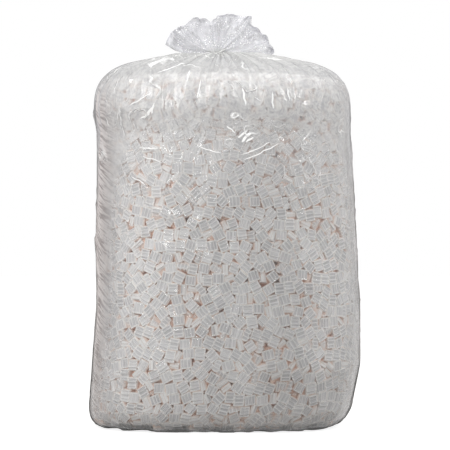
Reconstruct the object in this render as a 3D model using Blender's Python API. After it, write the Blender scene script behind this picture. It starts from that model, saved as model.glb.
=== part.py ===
"""A clear film bag of loose-fill packing peanuts, standing on its flat foot and tied at the neck.

Metres, +Z up. The origin is the middle of the foot, on the floor. The broad front faces -Y.
The bag is one length of clear film tube: a flat foot, a body pushed out by the peanuts, a domed
top gathered into pleats, a neck held by a tie, and the free end standing up above it as a ruffle.
Inside are the packed mass of peanuts, which is one solid, and the loose ones that lie on top of it.
"""

import math
import random

import bmesh
import bpy
from mathutils import Matrix, Vector
from mathutils.bvhtree import BVHTree

# The filled body
BODY_WIDTH = 0.730
BODY_DEPTH = 0.600
SHOULDER_HEIGHT = 0.868
BELLY_HEIGHT = 0.175
WAIST_HEIGHT = 0.812
FOOT_SWELL = 0.004
BELLY_SWELL = 0.010
WAIST_SWELL = -0.0095
SHOULDER_SWELL = -0.004
DOME_RISE = 0.154
FOOT_CORNER_IN = 0.052
FOOT_CORNER_UP = 0.072
FOOT_LEAN = -0.024
CORNER_LEAN = -0.007
BELLY_LEAN = 0.006
SHOULDER_LEAN = -0.010
NECK_LEAN = -0.024
BODY_SQUARENESS = 2.6
DOME_SQUARENESS = 2.9
HEAP_SQUARENESS = 3.6

# The film and its gathers
FILM_WALL = 0.0008
FILM_DENT = 0.009
PLEATS = 14
DOME_PLEAT_DEPTH = 0.008
NECK_PLEAT_DEPTH = 0.003
NECK_RADIUS = 0.021
NECK_RISE = 0.006

# The free end above the tie
RUFFLE_LENGTH = 0.137
RUFFLE_INNER_LENGTH = 0.101
RUFFLE_INNER_LEAN = math.radians(18)
RUFFLE_FRONT_LEAN = math.radians(42)
RUFFLE_SIDE_LEAN = math.radians(78)
RUFFLE_RAGGED = math.radians(8)

# The tie
TIE_HEIGHT = 0.004
TIE_WALL = 0.0014
TIE_TAIL_LENGTH = 0.030
TIE_TAIL_WIDTH = 0.0032
TIE_TAIL_TWIST = math.radians(270)
TIE_TAIL_SWING = math.radians(20)
TIE_TAIL_RISE = math.radians(24)

# The peanuts
PEANUT_LENGTH = 0.035
PEANUT_WIDTH = 0.029
PEANUT_THICKNESS = 0.021
PEANUT_STROKE = 0.0085
PEANUT_BEND = math.radians(135)
BUMP_DEPTH = 0.017
TOP_AIR = 0.051
LOOSE_START = 0.060
LOOSE_GAP = 0.030

# Room between pieces
FIT = 0.0003
FILL_ROOM = 0.0020
LOOSE_ROOM = 0.001

# How finely the rings are drawn
PLEAT_COLUMNS = 4
LOBE_COLUMNS = 8
CORNER_ROWS = 3
BODY_ROWS = 9
DOME_ROWS = 9
RUFFLE_ROWS = 5
FILL_STEPS = 2
PEANUT_STEPS = 6
TIE_SIDES = 24
TIE_TAIL_ROWS = 6
SEED = 14

COLUMNS = PLEATS * PLEAT_COLUMNS
LOBES = COLUMNS // LOBE_COLUMNS
TIE_BASE = SHOULDER_HEIGHT + DOME_RISE + NECK_RISE
TIE_TOP = TIE_BASE + TIE_HEIGHT
FILL_BASE = FILM_WALL + FIT
QUARTER = math.pi / 2


def clear_scene():
    for old in list(bpy.data.objects):
        bpy.data.objects.remove(old)


def plain_material(name, colour, roughness, alpha=1.0):
    material = bpy.data.materials.new(name)
    material.use_nodes = True
    shader = material.node_tree.nodes["Principled BSDF"]
    shader.inputs["Base Color"].default_value = (*colour, 1.0)
    shader.inputs["Roughness"].default_value = roughness
    shader.inputs["Metallic"].default_value = 0.0
    shader.inputs["Alpha"].default_value = alpha
    return material


def add_object(name, mesh, material):
    made = bpy.data.objects.new(name, mesh)
    bpy.context.scene.collection.objects.link(made)
    mesh.materials.append(material)
    return made


def rounded_outline(half_width, half_depth, squareness, angle):
    """A point of a superellipse, which is an ellipse with fuller corners as its squareness passes 2."""
    c, s = math.cos(angle), math.sin(angle)
    x = math.copysign(abs(c) ** (2 / squareness), c) * half_width
    y = math.copysign(abs(s) ** (2 / squareness), s) * half_depth
    return x, y


def between(low, high, share):
    return low + (high - low) * share


def body_size(height):
    """(half width, half depth, sideways lean) of the filled body, straight between five heights."""
    stations = [
        (0.0, FOOT_SWELL, FOOT_LEAN),
        (FOOT_CORNER_UP, FOOT_SWELL, CORNER_LEAN),
        (BELLY_HEIGHT, BELLY_SWELL, BELLY_LEAN),
        (WAIST_HEIGHT, WAIST_SWELL, SHOULDER_LEAN),
        (SHOULDER_HEIGHT, SHOULDER_SWELL, SHOULDER_LEAN),
    ]
    _, swell, lean = stations[-1]
    for (low, low_swell, low_lean), (high, high_swell, high_lean) in zip(stations, stations[1:]):
        if low <= height < high:
            share = (height - low) / (high - low)
            swell = between(low_swell, high_swell, share)
            lean = between(low_lean, high_lean, share)
    return BODY_WIDTH / 2 + swell, BODY_DEPTH / 2 + swell, lean


def column_angle(column):
    return 2 * math.pi * column / COLUMNS


def pleat(column):
    """0 on the crest of a pleat and -1 in its valley."""
    return (math.cos(2 * math.pi * column / PLEAT_COLUMNS) - 1) / 2


def body_ring(height, inset=0.0):
    half_width, half_depth, lean = body_size(height)
    points = []
    for column in range(COLUMNS):
        angle = column_angle(column)
        x, y = rounded_outline(half_width - inset, half_depth - inset, BODY_SQUARENESS, angle)
        points.append(Vector((x + lean, y, height)))
    return points


def film_dents():
    """How far the film sinks between the peanuts at each row and column of the body's side."""
    chance = random.Random(SEED)
    rows = [[0.0] * COLUMNS]
    for row in range(1, BODY_ROWS):
        dents = [FILM_DENT * ((row + column) % 2 + chance.random()) / 2 for column in range(COLUMNS)]
        rows.append(dents)
    rows.append([0.0] * COLUMNS)
    return rows


def side_rings(steps, inset=0.0):
    """The upright side from the foot's corner up to the shoulder, with so many rings a row of dents."""
    dents = film_dents()
    rings = []
    for step in range(BODY_ROWS * steps):
        row, part = divmod(step, steps)
        height = between(FOOT_CORNER_UP, SHOULDER_HEIGHT, step / (BODY_ROWS * steps))
        middle = Vector((body_size(height)[2], 0, height))
        points = []
        for low, high, point in zip(dents[row], dents[row + 1], body_ring(height, inset)):
            points.append(point + (middle - point).normalized() * between(low, high, part / steps))
        rings.append(points)
    return rings


def dome_ring(row, dome_squareness, inset=0.0, drop=0.0, pleat_depth=0.0):
    """A ring of the dome. Its outline goes from the body's rounded one to the neck's round one."""
    turn = QUARTER * row / DOME_ROWS
    share = math.cos(turn) ** (2 / dome_squareness)
    rise = math.sin(turn) ** (2 / dome_squareness)
    half_width, half_depth, lean = body_size(SHOULDER_HEIGHT)
    half_width = between(NECK_RADIUS, half_width - inset, share)
    half_depth = between(NECK_RADIUS, half_depth - inset, share)
    squareness = between(2.0, BODY_SQUARENESS, share)
    lean = between(NECK_LEAN, lean, share)
    height = SHOULDER_HEIGHT + (DOME_RISE - drop) * rise
    depth = pleat_depth * math.sin(2 * turn)
    points = []
    for column in range(COLUMNS):
        x, y = rounded_outline(half_width, half_depth, squareness, column_angle(column))
        points.append(Vector((x + lean, y, height + depth * pleat(column))))
    return points


def neck_ring(height):
    points = []
    for column in range(COLUMNS):
        r = NECK_RADIUS + NECK_PLEAT_DEPTH * pleat(column)
        angle = column_angle(column)
        points.append(Vector((r * math.cos(angle) + NECK_LEAN, r * math.sin(angle), height)))
    return points


def ruffle_rings():
    """The free end. Its folds stand up near the middle, and lean out and droop between."""
    chance = random.Random(SEED)
    ragged = [chance.uniform(-RUFFLE_RAGGED, RUFFLE_RAGGED) for _ in range(LOBES)]
    rings = []
    for row in range(1, RUFFLE_ROWS + 1):
        share = row / RUFFLE_ROWS
        points = []
        for column in range(COLUMNS):
            angle = column_angle(column)
            lobe = column // LOBE_COLUMNS
            out = (1 - math.cos(2 * math.pi * column / LOBE_COLUMNS)) / 2
            reach = between(RUFFLE_FRONT_LEAN, RUFFLE_SIDE_LEAN, math.cos(angle) ** 2)
            lean = between(RUFFLE_INNER_LEAN, reach + ragged[lobe], out)
            length = between(RUFFLE_INNER_LENGTH, RUFFLE_LENGTH, out) * share
            base = NECK_RADIUS + NECK_PLEAT_DEPTH * pleat(column) * (1 - share)
            r = base + length * math.sin(lean)
            height = TIE_TOP + FIT + length * math.cos(lean)
            points.append(Vector((r * math.cos(angle) + NECK_LEAN, r * math.sin(angle), height)))
        rings.append(points)
    return rings


def foot_rings(inset=0.0, lift=0.0):
    """The rounded edge of the foot, from the flat underneath to the upright side."""
    rings = []
    for row in range(CORNER_ROWS):
        turn = QUARTER * row / CORNER_ROWS
        tuck = FOOT_CORNER_IN * (1 - math.sin(turn))
        height = FOOT_CORNER_UP * (1 - math.cos(turn))
        rings.append([Vector((p.x, p.y, height + lift)) for p in body_ring(height, inset + tuck)])
    return rings


def skin(name, rings, close_top, split=0):
    """A mesh through rings of equal length, closed below by one flat face.

    A patch is split between its corners that lie an odd count of rows and columns from the start,
    so that the even corners of a cobbled skin stand as separate lumps. With a split of 1 it is the
    even corners that are joined, so that the odd ones are separate dents.
    """
    shape = bmesh.new()
    rows = [[shape.verts.new(point) for point in ring] for ring in rings]
    for row, (low, high) in enumerate(zip(rows, rows[1:])):
        for column in range(len(low)):
            after = (column + 1) % len(low)
            patch = [low[column], low[after], high[after], high[column]]
            if (row + column + split) % 2 == 0:
                patch = patch[1:] + patch[:1]
            shape.faces.new((patch[0], patch[1], patch[2]))
            shape.faces.new((patch[0], patch[2], patch[3]))
    shape.faces.new(list(reversed(rows[0])))
    if close_top:
        bmesh.ops.poke(shape, faces=[shape.faces.new(rows[-1])])
    return finished_mesh(name, shape)


def finished_mesh(name, shape):
    mesh = bpy.data.meshes.new(name)
    shape.to_mesh(mesh)
    shape.free()
    return mesh


def build_film(material):
    """The bag: one tube of film with a wall of its own and an open mouth at the ruffle's edge."""
    rings = foot_rings()
    on_crests = 1 - len(rings) % 2
    rings += side_rings(steps=1)
    rings += [dome_ring(row, DOME_SQUARENESS, pleat_depth=DOME_PLEAT_DEPTH) for row in range(DOME_ROWS)]
    rings += [neck_ring(TIE_BASE - FIT), neck_ring(TIE_TOP + FIT)]
    rings += ruffle_rings()
    film = add_object("bag_film", skin("bag_film", rings, close_top=False, split=on_crests), material)
    film.data.shade_smooth()
    film.data.set_sharp_from_angle(angle=math.radians(40))
    wall = film.modifiers.new("film wall", "SOLIDIFY")
    wall.thickness = FILM_WALL
    wall.offset = -1.0
    wall.use_rim = True
    return film


def build_packed_peanuts(material):
    """The packed mass: one solid whose skin is cobbled at the size of a peanut, on a flat foot."""
    chance = random.Random(SEED)
    room = FILM_WALL + FILL_ROOM

    def dent(row, column):
        hollow = (row + column) % 2
        return BUMP_DEPTH * (hollow + chance.random()) / 2

    rings = foot_rings(room, FILL_BASE)
    for ring in side_rings(FILL_STEPS, room):
        middle = sum(ring, Vector()) / COLUMNS
        ring = enumerate(ring)
        rings.append([p + (middle - p).normalized() * dent(len(rings), column) for column, p in ring])
    for row in range(DOME_ROWS):
        ring = enumerate(dome_ring(row, HEAP_SQUARENESS, room, TOP_AIR))
        rings.append([p - Vector((0, 0, dent(len(rings), column))) for column, p in ring])
    return add_object("packed_peanuts", skin("packed_peanuts", rings, close_top=True), material)


def peanut_outline():
    """The S of a peanut's side, as a ribbon of even thickness round two opposite bends."""
    reach = (PEANUT_LENGTH - PEANUT_STROKE) / 2
    rise = (PEANUT_THICKNESS - PEANUT_STROKE) / 2
    line = []
    for step in range(PEANUT_STEPS + 1):
        along = 2 * step / PEANUT_STEPS - 1
        line.append(Vector((along * reach, rise * math.sin(along * PEANUT_BEND))))
    upper, lower = [], []
    for index, point in enumerate(line):
        before, after = line[max(0, index - 1)], line[min(PEANUT_STEPS, index + 1)]
        way = (after - before).normalized()
        side = Vector((-way.y, way.x)) * PEANUT_STROKE / 2
        upper.append(point + side)
        lower.append(point - side)
    return lower + list(reversed(upper))


def peanut_mesh():
    """One peanut: the S drawn out to the peanut's width, lying on its broad side."""
    shape = bmesh.new()
    outline = [shape.verts.new((p.x, -PEANUT_WIDTH / 2, p.y)) for p in peanut_outline()]
    face = shape.faces.new(outline)
    drawn = bmesh.ops.extrude_face_region(shape, geom=[face])
    moved = [v for v in drawn["geom"] if isinstance(v, bmesh.types.BMVert)]
    bmesh.ops.translate(shape, verts=moved, vec=(0, PEANUT_WIDTH, 0))
    bmesh.ops.recalc_face_normals(shape, faces=shape.faces)
    return finished_mesh("peanut", shape)


def tree_of(mesh, place):
    """A search tree of a mesh's triangles, where the matrix puts it."""
    mesh.calc_loop_triangles()
    points = [place @ v.co for v in mesh.vertices]
    return BVHTree.FromPolygons(points, [tuple(t.vertices) for t in mesh.loop_triangles])


def tree_of_object(made):
    shown = made.evaluated_get(bpy.context.evaluated_depsgraph_get())
    tree = tree_of(shown.to_mesh(), made.matrix_world)
    shown.to_mesh_clear()
    return tree


def heap_slope(heap_tree, x, y):
    """The heap's own slope under a peanut's middle, as the turn that lays a flat piece along it."""
    start = SHOULDER_HEIGHT + DOME_RISE
    reach = PEANUT_WIDTH / 2
    feet = []
    for third in range(3):
        angle = 2 * math.pi * third / 3
        above = Vector((x + reach * math.cos(angle), y + reach * math.sin(angle), start))
        feet.append(heap_tree.ray_cast(above, Vector((0, 0, -1)))[0])
    normal = (feet[1] - feet[0]).cross(feet[2] - feet[0]).normalized()
    return Vector((0, 0, 1)).rotation_difference(normal).to_matrix().to_4x4()


def lay_on(heap_tree, mesh, place):
    """The peanut let down from above until it lies on the heap, with a fit's room under it."""

    def at(height):
        return Matrix.Translation((0, 0, height)) @ place

    def meets(height):
        return bool(tree_of(mesh, at(height)).overlap(heap_tree))

    clear = 0.0
    while not meets(clear - PEANUT_STROKE):
        clear -= PEANUT_STROKE
    touching = clear - PEANUT_STROKE
    while clear - touching > FIT / 4:
        middle = (clear + touching) / 2
        if meets(middle):
            touching = middle
        else:
            clear = middle
    return at(clear + FIT)


def under_film(film_tree, mesh, place):
    """True if the peanut has room all over under the gathered film."""
    if tree_of(mesh, place).overlap(film_tree):
        return False
    corners = [place @ v.co for v in mesh.vertices]
    gaps = [film_tree.find_nearest(point)[3] for point in corners]
    return min(gaps) > LOOSE_ROOM


def build_loose_peanuts(heap, film, material):
    """The loose peanuts that lie on the heap in rings round the neck, each a piece of its own."""
    chance = random.Random(SEED)
    mesh = peanut_mesh()
    mesh.materials.append(material)
    heap_tree = tree_of_object(heap)
    film_tree = tree_of_object(film)
    spacing = math.hypot(PEANUT_LENGTH, PEANUT_WIDTH) + LOOSE_GAP
    rings = int((BODY_DEPTH / 2 - LOOSE_START - PEANUT_LENGTH) / spacing) + 1
    made = []
    for ring in range(rings):
        radius = LOOSE_START + ring * spacing
        places = int(2 * math.pi * radius / spacing)
        for step in range(places):
            angle = 2 * math.pi * (step + ring / 2) / places
            x, y = radius * math.cos(angle) + NECK_LEAN, radius * math.sin(angle)
            spin = Matrix.Rotation(chance.uniform(0, 2 * math.pi), 4, "Z")
            start = Matrix.Translation((x, y, SHOULDER_HEIGHT + DOME_RISE))
            place = lay_on(heap_tree, mesh, start @ heap_slope(heap_tree, x, y) @ spin)
            if under_film(film_tree, mesh, place):
                peanut = bpy.data.objects.new(f"loose_peanut_{len(made) + 1:02d}", mesh)
                bpy.context.scene.collection.objects.link(peanut)
                peanut.matrix_world = place
                made.append(peanut)
    return made


def tie_tail(start):
    """The two ends of the tie, twisted together into one flat strip that turns as it goes."""
    swing, rise = TIE_TAIL_SWING, TIE_TAIL_RISE
    way = Vector((math.cos(rise) * math.cos(swing), -math.cos(rise) * math.sin(swing), math.sin(rise)))
    across = way.cross(Vector((0, 0, 1))).normalized()
    upright = across.cross(way)
    rings = []
    for row in range(TIE_TAIL_ROWS + 1):
        share = row / TIE_TAIL_ROWS
        turn = TIE_TAIL_TWIST * share
        wide = (upright * math.cos(turn) + across * math.sin(turn)) * TIE_TAIL_WIDTH / 2
        thick = (across * math.cos(turn) - upright * math.sin(turn)) * (TIE_WALL - FIT) / 2
        middle = start + way * TIE_TAIL_LENGTH * share
        corners = (wide + thick, thick - wide, -wide - thick, wide - thick)
        rings.append([middle + corner for corner in corners])
    return skin("tie_tail", rings, close_top=True)


def build_tie(material):
    """The tie: a narrow band round the neck, and the short tail of its twisted ends."""
    outer = (NECK_RADIUS + FIT) / math.cos(math.pi / TIE_SIDES) + TIE_WALL
    band = bmesh.new()
    bmesh.ops.create_cone(band, segments=TIE_SIDES, radius1=outer, radius2=outer, depth=TIE_HEIGHT)
    tie = add_object("neck_tie", finished_mesh("neck_tie", band), material)
    tie.location = (NECK_LEAN, 0, TIE_BASE + TIE_HEIGHT / 2)
    wall = tie.modifiers.new("tie wall", "SOLIDIFY")
    wall.thickness = TIE_WALL
    wall.offset = -1.0
    tail = add_object("tie_tail", tie_tail(Vector((0, TIE_WALL / 2 - outer, 0))), material)
    tail.location = tie.location
    tail.hide_render = True
    tail.display_type = "WIRE"
    join = tie.modifiers.new("twisted ends", "BOOLEAN")
    join.operation = "UNION"
    join.object = tail
    return tie


def main():
    clear_scene()
    clear_film = plain_material("clear film", (0.86, 0.87, 0.89), 0.12, alpha=0.25)
    white_foam = plain_material("white foam", (0.86, 0.86, 0.85), 0.75)
    white_tie = plain_material("white tie", (0.88, 0.88, 0.88), 0.4)
    film = build_film(clear_film)
    heap = build_packed_peanuts(white_foam)
    bpy.context.view_layer.update()
    build_loose_peanuts(heap, film, white_foam)
    build_tie(white_tie)


main()
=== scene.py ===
"""The looks of a clear film bag of loose-fill packing peanuts, tied at the neck.

Metres, +Z up, the broad front faces -Y. The bag is one sheet of clear film, from its flat foot up to
the ruffle above the tie. Behind it lie the peanuts: each is a ridged S of foam with its own place,
found by letting the pieces push each other apart in a layer that is then wrapped round the bag.
"""

import math
import random

import bpy
import numpy as np
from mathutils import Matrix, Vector


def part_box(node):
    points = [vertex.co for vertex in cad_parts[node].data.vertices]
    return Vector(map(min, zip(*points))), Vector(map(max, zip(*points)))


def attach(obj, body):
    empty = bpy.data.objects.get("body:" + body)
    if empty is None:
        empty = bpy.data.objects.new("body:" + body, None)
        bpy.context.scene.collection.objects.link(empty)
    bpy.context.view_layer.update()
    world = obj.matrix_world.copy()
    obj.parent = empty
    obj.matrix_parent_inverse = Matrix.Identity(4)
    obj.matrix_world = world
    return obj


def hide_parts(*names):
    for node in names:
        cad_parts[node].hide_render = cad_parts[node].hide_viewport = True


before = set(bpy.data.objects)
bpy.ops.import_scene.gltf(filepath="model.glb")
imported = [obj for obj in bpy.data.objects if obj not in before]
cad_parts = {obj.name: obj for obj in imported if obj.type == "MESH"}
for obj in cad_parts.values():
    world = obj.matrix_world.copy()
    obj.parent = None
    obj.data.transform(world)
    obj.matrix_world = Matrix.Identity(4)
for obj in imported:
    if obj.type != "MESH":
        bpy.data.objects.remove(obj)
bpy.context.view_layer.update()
FILM_LOW, FILM_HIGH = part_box("bag_film")
TIE_LOW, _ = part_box("neck_tie")

# The bag's outline
LEAN_IN_BOX = 0.002
DENT_IN_BOX = 0.003
HALF_WIDTH = (FILM_HIGH[0] - FILM_LOW[0]) / 2 - LEAN_IN_BOX
HALF_DEPTH = (FILM_HIGH[1] - FILM_LOW[1]) / 2 + DENT_IN_BOX
FOOT_CORNER_IN = 0.056
FOOT_CORNER_UP = 0.072
BELLY_HEIGHT = 0.175
WAIST_HEIGHT = 0.812
SHOULDER_HEIGHT = 0.868
FOOT_SLIM = 0.013
BELLY_SLIM = 0.006
WAIST_SLIM = 0.0270
SHOULDER_SLIM = 0.0205
SHOULDER_LEAN = -0.007
NECK_LEAN = -0.024
NECK_RADIUS = 0.019
DOME_RISE = TIE_LOW[2] - 0.006 - SHOULDER_HEIGHT
BODY_SQUARENESS = 2.6
DOME_SQUARENESS = 2.95
DOME_LEAN_POWER = 0.3
LEAN_HEIGHTS = [0.0, 0.025, 0.055, 0.090, 0.175, 0.320, 0.500, 0.680, 0.812, 0.868]
LEANS = [-0.024, -0.020, -0.013, -0.009, 0.002, 0.008, 0.005, 0.001, -0.003, SHOULDER_LEAN]

# The outline's rings: under the flat foot, round its corner, up the side and over the dome
FLAT_RINGS = 24
CORNER_RINGS = 15
SIDE_RINGS = 39
DOME_RINGS = 60
OUTLINE_STEPS = 4000

# The heap of peanuts inside
HEAP_RISE = 0.103
HEAP_SQUARENESS = 3.8
FILM_ROOM = 0.0055
SLACK_ROOM = 0.006
FIELD_CELL = 0.007
OPEN_DEPTH = 0.02
TOP_REACH = 0.90
UNDER_REACH = 0.86
# How much of the painted warm shade the peanuts under the dome get
TOP_SHADE = 0.3

# One peanut
PEANUT_LENGTH = 0.035
PEANUT_WIDTH = 0.029
PEANUT_THICKNESS = 0.021
GROOVE_DEPTH = 0.33
GROOVE_WIDTH = 0.12
GROOVE_AT = 0.22
RIDGE = 0.0017
RIDGE_STEPS = 4
ENDS_BUNCHED = 0.92
BLOCK_FULLNESS = 1.04
BLOCK_SQUARENESS = 5
FINE_STEPS = 20
PLAIN_STEPS = 8
SHARP_EDGE = math.radians(55)
PEANUT_SIZES = (0.92, 1.06)
SIDE_SIZES = (0.96, 1.04)

# How the peanuts are packed
LAYER_DEPTH = 0.056
OUTER_DEPTH = 0.026
DEEPEST = 0.046
BALL_RADIUS = 0.0092
PACKED_PER_M3 = 37500
WALL_PER_M2 = 1130
BROAD_SHARE = 0.62
PROFILE_SHARE = 0.22
LYING_TILT = math.radians(12)
START_SHIFT = 0.009
START_DEPTHS = (0.010, 0.018)
START_BEHIND = 0.032
PACK_STEPS = 110
PAIRS_EVERY = 8
PAIR_REACH = 0.046
PUSH_SHARE = 0.42
SETTLING_SHARE = 0.85
SETTLE = 0.0005

# The film's grid
COLUMNS = 400
RUFFLE_ROWS = 34
NOISE_REACH = 2.4
SEED = 29


def rounded_outline(half_width, half_depth, squareness, angle):
    """Points of a superellipse, which is an ellipse with fuller corners as its squareness passes 2."""
    c, s = np.cos(angle), np.sin(angle)
    x = np.sign(c) * np.abs(c) ** (2 / squareness) * half_width
    y = np.sign(s) * np.abs(s) ** (2 / squareness) * half_depth
    return x, y


def column_angles():
    """The body's outline from the middle of the back: (shares of its way round, angles, its length)."""
    fine = np.linspace(0, 2 * math.pi, OUTLINE_STEPS + 1) + math.pi / 2
    x, y = rounded_outline(HALF_WIDTH, HALF_DEPTH, BODY_SQUARENESS, fine)
    steps = np.hypot(np.diff(x), np.diff(y))
    way = np.concatenate([[0], np.cumsum(steps)])
    return way / way[-1], fine, way[-1]


ROUND_SHARE, ROUND_ANGLE, GIRTH = column_angles()


class Profile:
    """The rings that a skin is lofted through, from the middle of the foot up to the neck."""

    def __init__(self, rise, inset=0.0, squareness=DOME_SQUARENESS):
        rows = []
        heights = [0.0, FOOT_CORNER_UP, BELLY_HEIGHT, WAIST_HEIGHT, SHOULDER_HEIGHT]
        slims = [FOOT_SLIM, FOOT_SLIM, BELLY_SLIM, WAIST_SLIM, SHOULDER_SLIM]

        def body(height, tuck=0.0):
            slim = np.interp(height, heights, slims) + tuck + inset
            lean = np.interp(height, LEAN_HEIGHTS, LEANS)
            return HALF_WIDTH - slim, HALF_DEPTH - slim, lean, BODY_SQUARENESS

        flat_width, flat_depth, _, n = body(0.0, FOOT_CORNER_IN)
        for share in np.linspace(0.04, 0.96, FLAT_RINGS):
            rows.append((inset, flat_width * share, flat_depth * share, LEANS[0] * share, n))
        for turn in np.linspace(0, math.pi / 2, CORNER_RINGS + 1)[:-1]:
            tuck = FOOT_CORNER_IN * (1 - math.sin(turn))
            height = FOOT_CORNER_UP * (1 - math.cos(turn))
            rows.append((height + inset, *body(height, tuck)))
        side = np.linspace(FOOT_CORNER_UP + inset, SHOULDER_HEIGHT, SIDE_RINGS + 1)
        for height in side[:-1]:
            rows.append((height, *body(height)))
        top_width, top_depth, top_lean, n = body(SHOULDER_HEIGHT)
        for turn in np.linspace(0, math.pi / 2, DOME_RINGS):
            share = math.cos(turn) ** (2 / squareness)
            up = math.sin(turn) ** (2 / squareness)
            rows.append(
                (
                    SHOULDER_HEIGHT + rise * up,
                    NECK_RADIUS + (top_width - NECK_RADIUS) * share,
                    NECK_RADIUS + (top_depth - NECK_RADIUS) * share,
                    NECK_LEAN + (top_lean - NECK_LEAN) * share**DOME_LEAN_POWER,
                    2 + (n - 2) * share,
                )
            )
        self.rows = np.array(rows)
        outward = (self.rows[:, 1] + self.rows[:, 2]) / 2
        self.way = np.concatenate(
            [[0], np.cumsum(np.hypot(np.diff(self.rows[:, 0]), np.diff(outward)))]
        )
        self.foot = self.way[FLAT_RINGS]
        self.shoulder = self.way[FLAT_RINGS + CORNER_RINGS + SIDE_RINGS]
        self.end = self.way[-1]

    def at(self, share, way):
        """The point at a share of the way round and a length along the skin, for arrays of both."""
        angle = np.interp(share % 1.0, ROUND_SHARE, ROUND_ANGLE)
        height, half_width, half_depth, lean, squareness = (
            np.interp(way, self.way, self.rows[:, k]) for k in range(5)
        )
        x, y = rounded_outline(half_width, half_depth, squareness, angle)
        return np.stack([x + lean, y, height], -1)

    def normal(self, share, way):
        """The outward direction at those points."""
        step = 0.004
        round_way = self.at(share + step / GIRTH, way) - self.at(share - step / GIRTH, way)
        up_way = self.at(share, np.minimum(way + step, self.end)) - self.at(share, way - step)
        across = np.cross(round_way, up_way)
        return across / np.maximum(np.linalg.norm(across, axis=-1, keepdims=True), 1e-9)


def grid_noise(share, way, around, tall, seed):
    """Smooth noise from 0 to 1 on the film: so many cells around the bag, and each so tall."""
    chance = np.random.default_rng(seed)
    rows = int(NOISE_REACH / tall) + 2
    values = chance.random((rows, around))
    a, b = (share % 1.0) * around, way / tall
    i, j = np.floor(a).astype(int), np.floor(b).astype(int)
    s, t = a - i, b - j
    s, t = s * s * (3 - 2 * s), t * t * (3 - 2 * t)
    left, right = i % around, (i + 1) % around
    low = values[j % rows, left] * (1 - s) + values[j % rows, right] * s
    high = values[(j + 1) % rows, left] * (1 - s) + values[(j + 1) % rows, right] * s
    return low * (1 - t) + high * t


def sampled(layer, share, row):
    """A grid's values between its cells, at shares of the way round and counts of rows."""
    a = (share % 1.0) * layer.shape[1]
    b = np.clip(row, 0, layer.shape[0] - 1.001)
    i, j = a.astype(int) % layer.shape[1], b.astype(int)
    s, t = a - np.floor(a), b - j
    after = (i + 1) % layer.shape[1]
    low = layer[j, i] * (1 - s) + layer[j, after] * s
    high = layer[j + 1, i] * (1 - s) + layer[j + 1, after] * s
    return low * (1 - t) + high * t


def smooth_step(value, low, high):
    """0 below low and 1 above high, smooth between them."""
    share = np.clip((value - low) / (high - low), 0, 1)
    return share * share * (3 - 2 * share)


# ---- peanuts


def peanut_shape(steps):
    """One ribbed S of foam, cut off square at both sides: (points, faces of four corners, marks).

    The S is a rounded block with a groove from above on one side of its middle, and one from below
    on the other. The marks say where on the peanut each point lies, from -1 to 1.
    """
    ends = math.sin(math.pi / 2 * ENDS_BUNCHED)
    along = np.sin(np.linspace(-1, 1, steps + 1) * math.pi / 2 * ENDS_BUNCHED) / ends
    block = PEANUT_THICKNESS / 2 * np.sqrt(BLOCK_FULLNESS - np.abs(along) ** BLOCK_SQUARENESS)
    rib = np.cos(2 * math.pi * np.arange(steps + 1) / RIDGE_STEPS)

    def side(groove_at):
        groove = GROOVE_DEPTH * np.exp(-(((along - groove_at) / GROOVE_WIDTH) ** 2))
        return block * (1 - groove) + RIDGE * rib

    above = np.stack([along * PEANUT_LENGTH / 2, side(GROOVE_AT)], -1)
    below = np.stack([along * PEANUT_LENGTH / 2, -side(-GROOVE_AT)], -1)
    outline = np.concatenate([above, below[::-1]])
    count = len(outline)
    levels = [
        np.stack([outline[:, 0], np.full(count, y), outline[:, 1]], -1)
        for y in (-PEANUT_WIDTH / 2, PEANUT_WIDTH / 2)
    ]
    faces = []
    for k in range(count):
        after = (k + 1) % count
        faces.append([k, after, count + after, count + k])
    for k in range(steps):
        across = count - 1 - k
        faces.append([k, across, across - 1, k + 1])
        faces.append([count + k, count + k + 1, count + across - 1, count + across])
    marks = {
        "along": np.tile(np.concatenate([along, along[::-1]]), 2),
        "across": np.repeat([-1.0, 1.0], count),
        "up": np.tile(np.repeat([1.0, -1.0], steps + 1), 2),
        "rib": np.tile(np.concatenate([rib, rib[::-1]]), 2),
    }
    return np.concatenate(levels), np.array(faces), marks


def turn_about(axis, angle):
    """Rotation matrices about one coordinate axis, one for each angle."""
    c, s = np.cos(angle), np.sin(angle)
    made = np.zeros((len(angle), 3, 3))
    i, j = (axis + 1) % 3, (axis + 2) % 3
    made[:, axis, axis] = 1
    made[:, i, i], made[:, i, j] = c, -s
    made[:, j, i], made[:, j, j] = s, c
    return made


def lying_turns(count, chance):
    """Turns of peanuts against a wall: most show a broad face, the rest their S or an end."""
    kind = chance.random(count)
    on_end = kind > BROAD_SHARE + PROFILE_SHARE
    roll = np.where((kind > BROAD_SHARE) & (kind < BROAD_SHARE + PROFILE_SHARE), math.pi / 2, 0)
    pitch = np.where(on_end, math.pi / 2, 0)
    spin = chance.uniform(0, 2 * math.pi, count)
    tilt_x, tilt_y = chance.normal(0, LYING_TILT, (2, count))
    lying = turn_about(0, roll) @ turn_about(1, pitch)
    return turn_about(0, tilt_x) @ turn_about(1, tilt_y) @ turn_about(2, spin) @ lying


def near_pairs(places, size, reach, wrap):
    """The pairs of peanuts near enough to touch, found a batch at a time."""
    batch = 256
    first, second = [], []
    for start in range(0, len(places), batch):
        gap = places[start : start + batch, None] - places[None]
        if wrap:
            gap[..., 0] -= size[0] * np.round(gap[..., 0] / size[0])
        near = (gap**2).sum(-1) < reach**2
        i, j = np.nonzero(near)
        keep = i + start < j
        first.append(i[keep] + start)
        second.append(j[keep])
    return np.concatenate(first), np.concatenate(second)


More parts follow.
